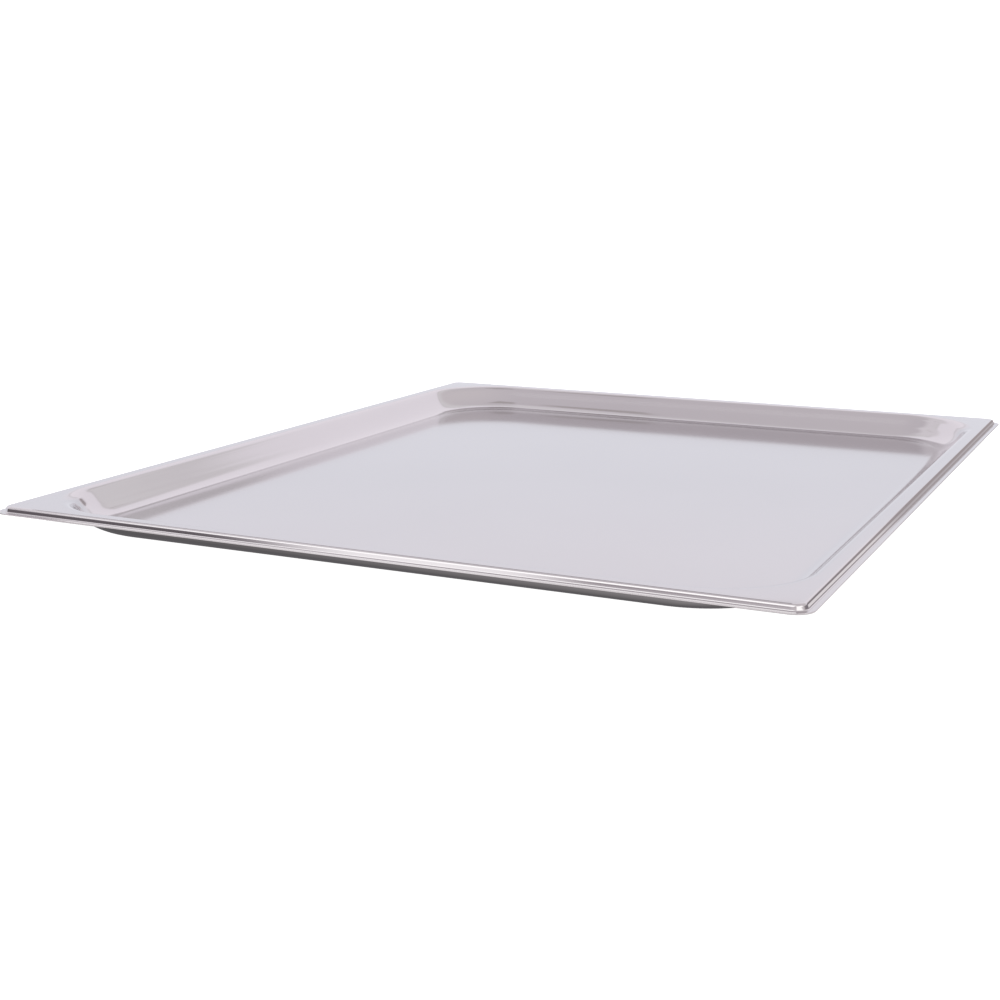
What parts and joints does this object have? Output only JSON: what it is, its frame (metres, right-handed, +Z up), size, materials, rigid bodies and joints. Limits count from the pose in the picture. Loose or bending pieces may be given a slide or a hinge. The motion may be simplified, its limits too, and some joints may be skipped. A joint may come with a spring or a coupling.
{
  "type": "food pan",
  "caption": "Shallow rectangular food pan pressed from one steel sheet, with sloped rounded walls, a flat floor and a stepped hanging rim.",
  "frame": {"origin": "centre of the pan's flat base, on its underside", "axes": "+X across the pan's short side, +Y along its long side, +Z up out of the well"},
  "size_m": [0.53, 0.65, 0.0187],
  "materials": {
    "stainless_steel": "satin inside and on the flange, brighter on the rolled rim"
  },
  "bodies": {
    "root": {"pan_body": "stainless_steel"}
  },
  "joints": []
}
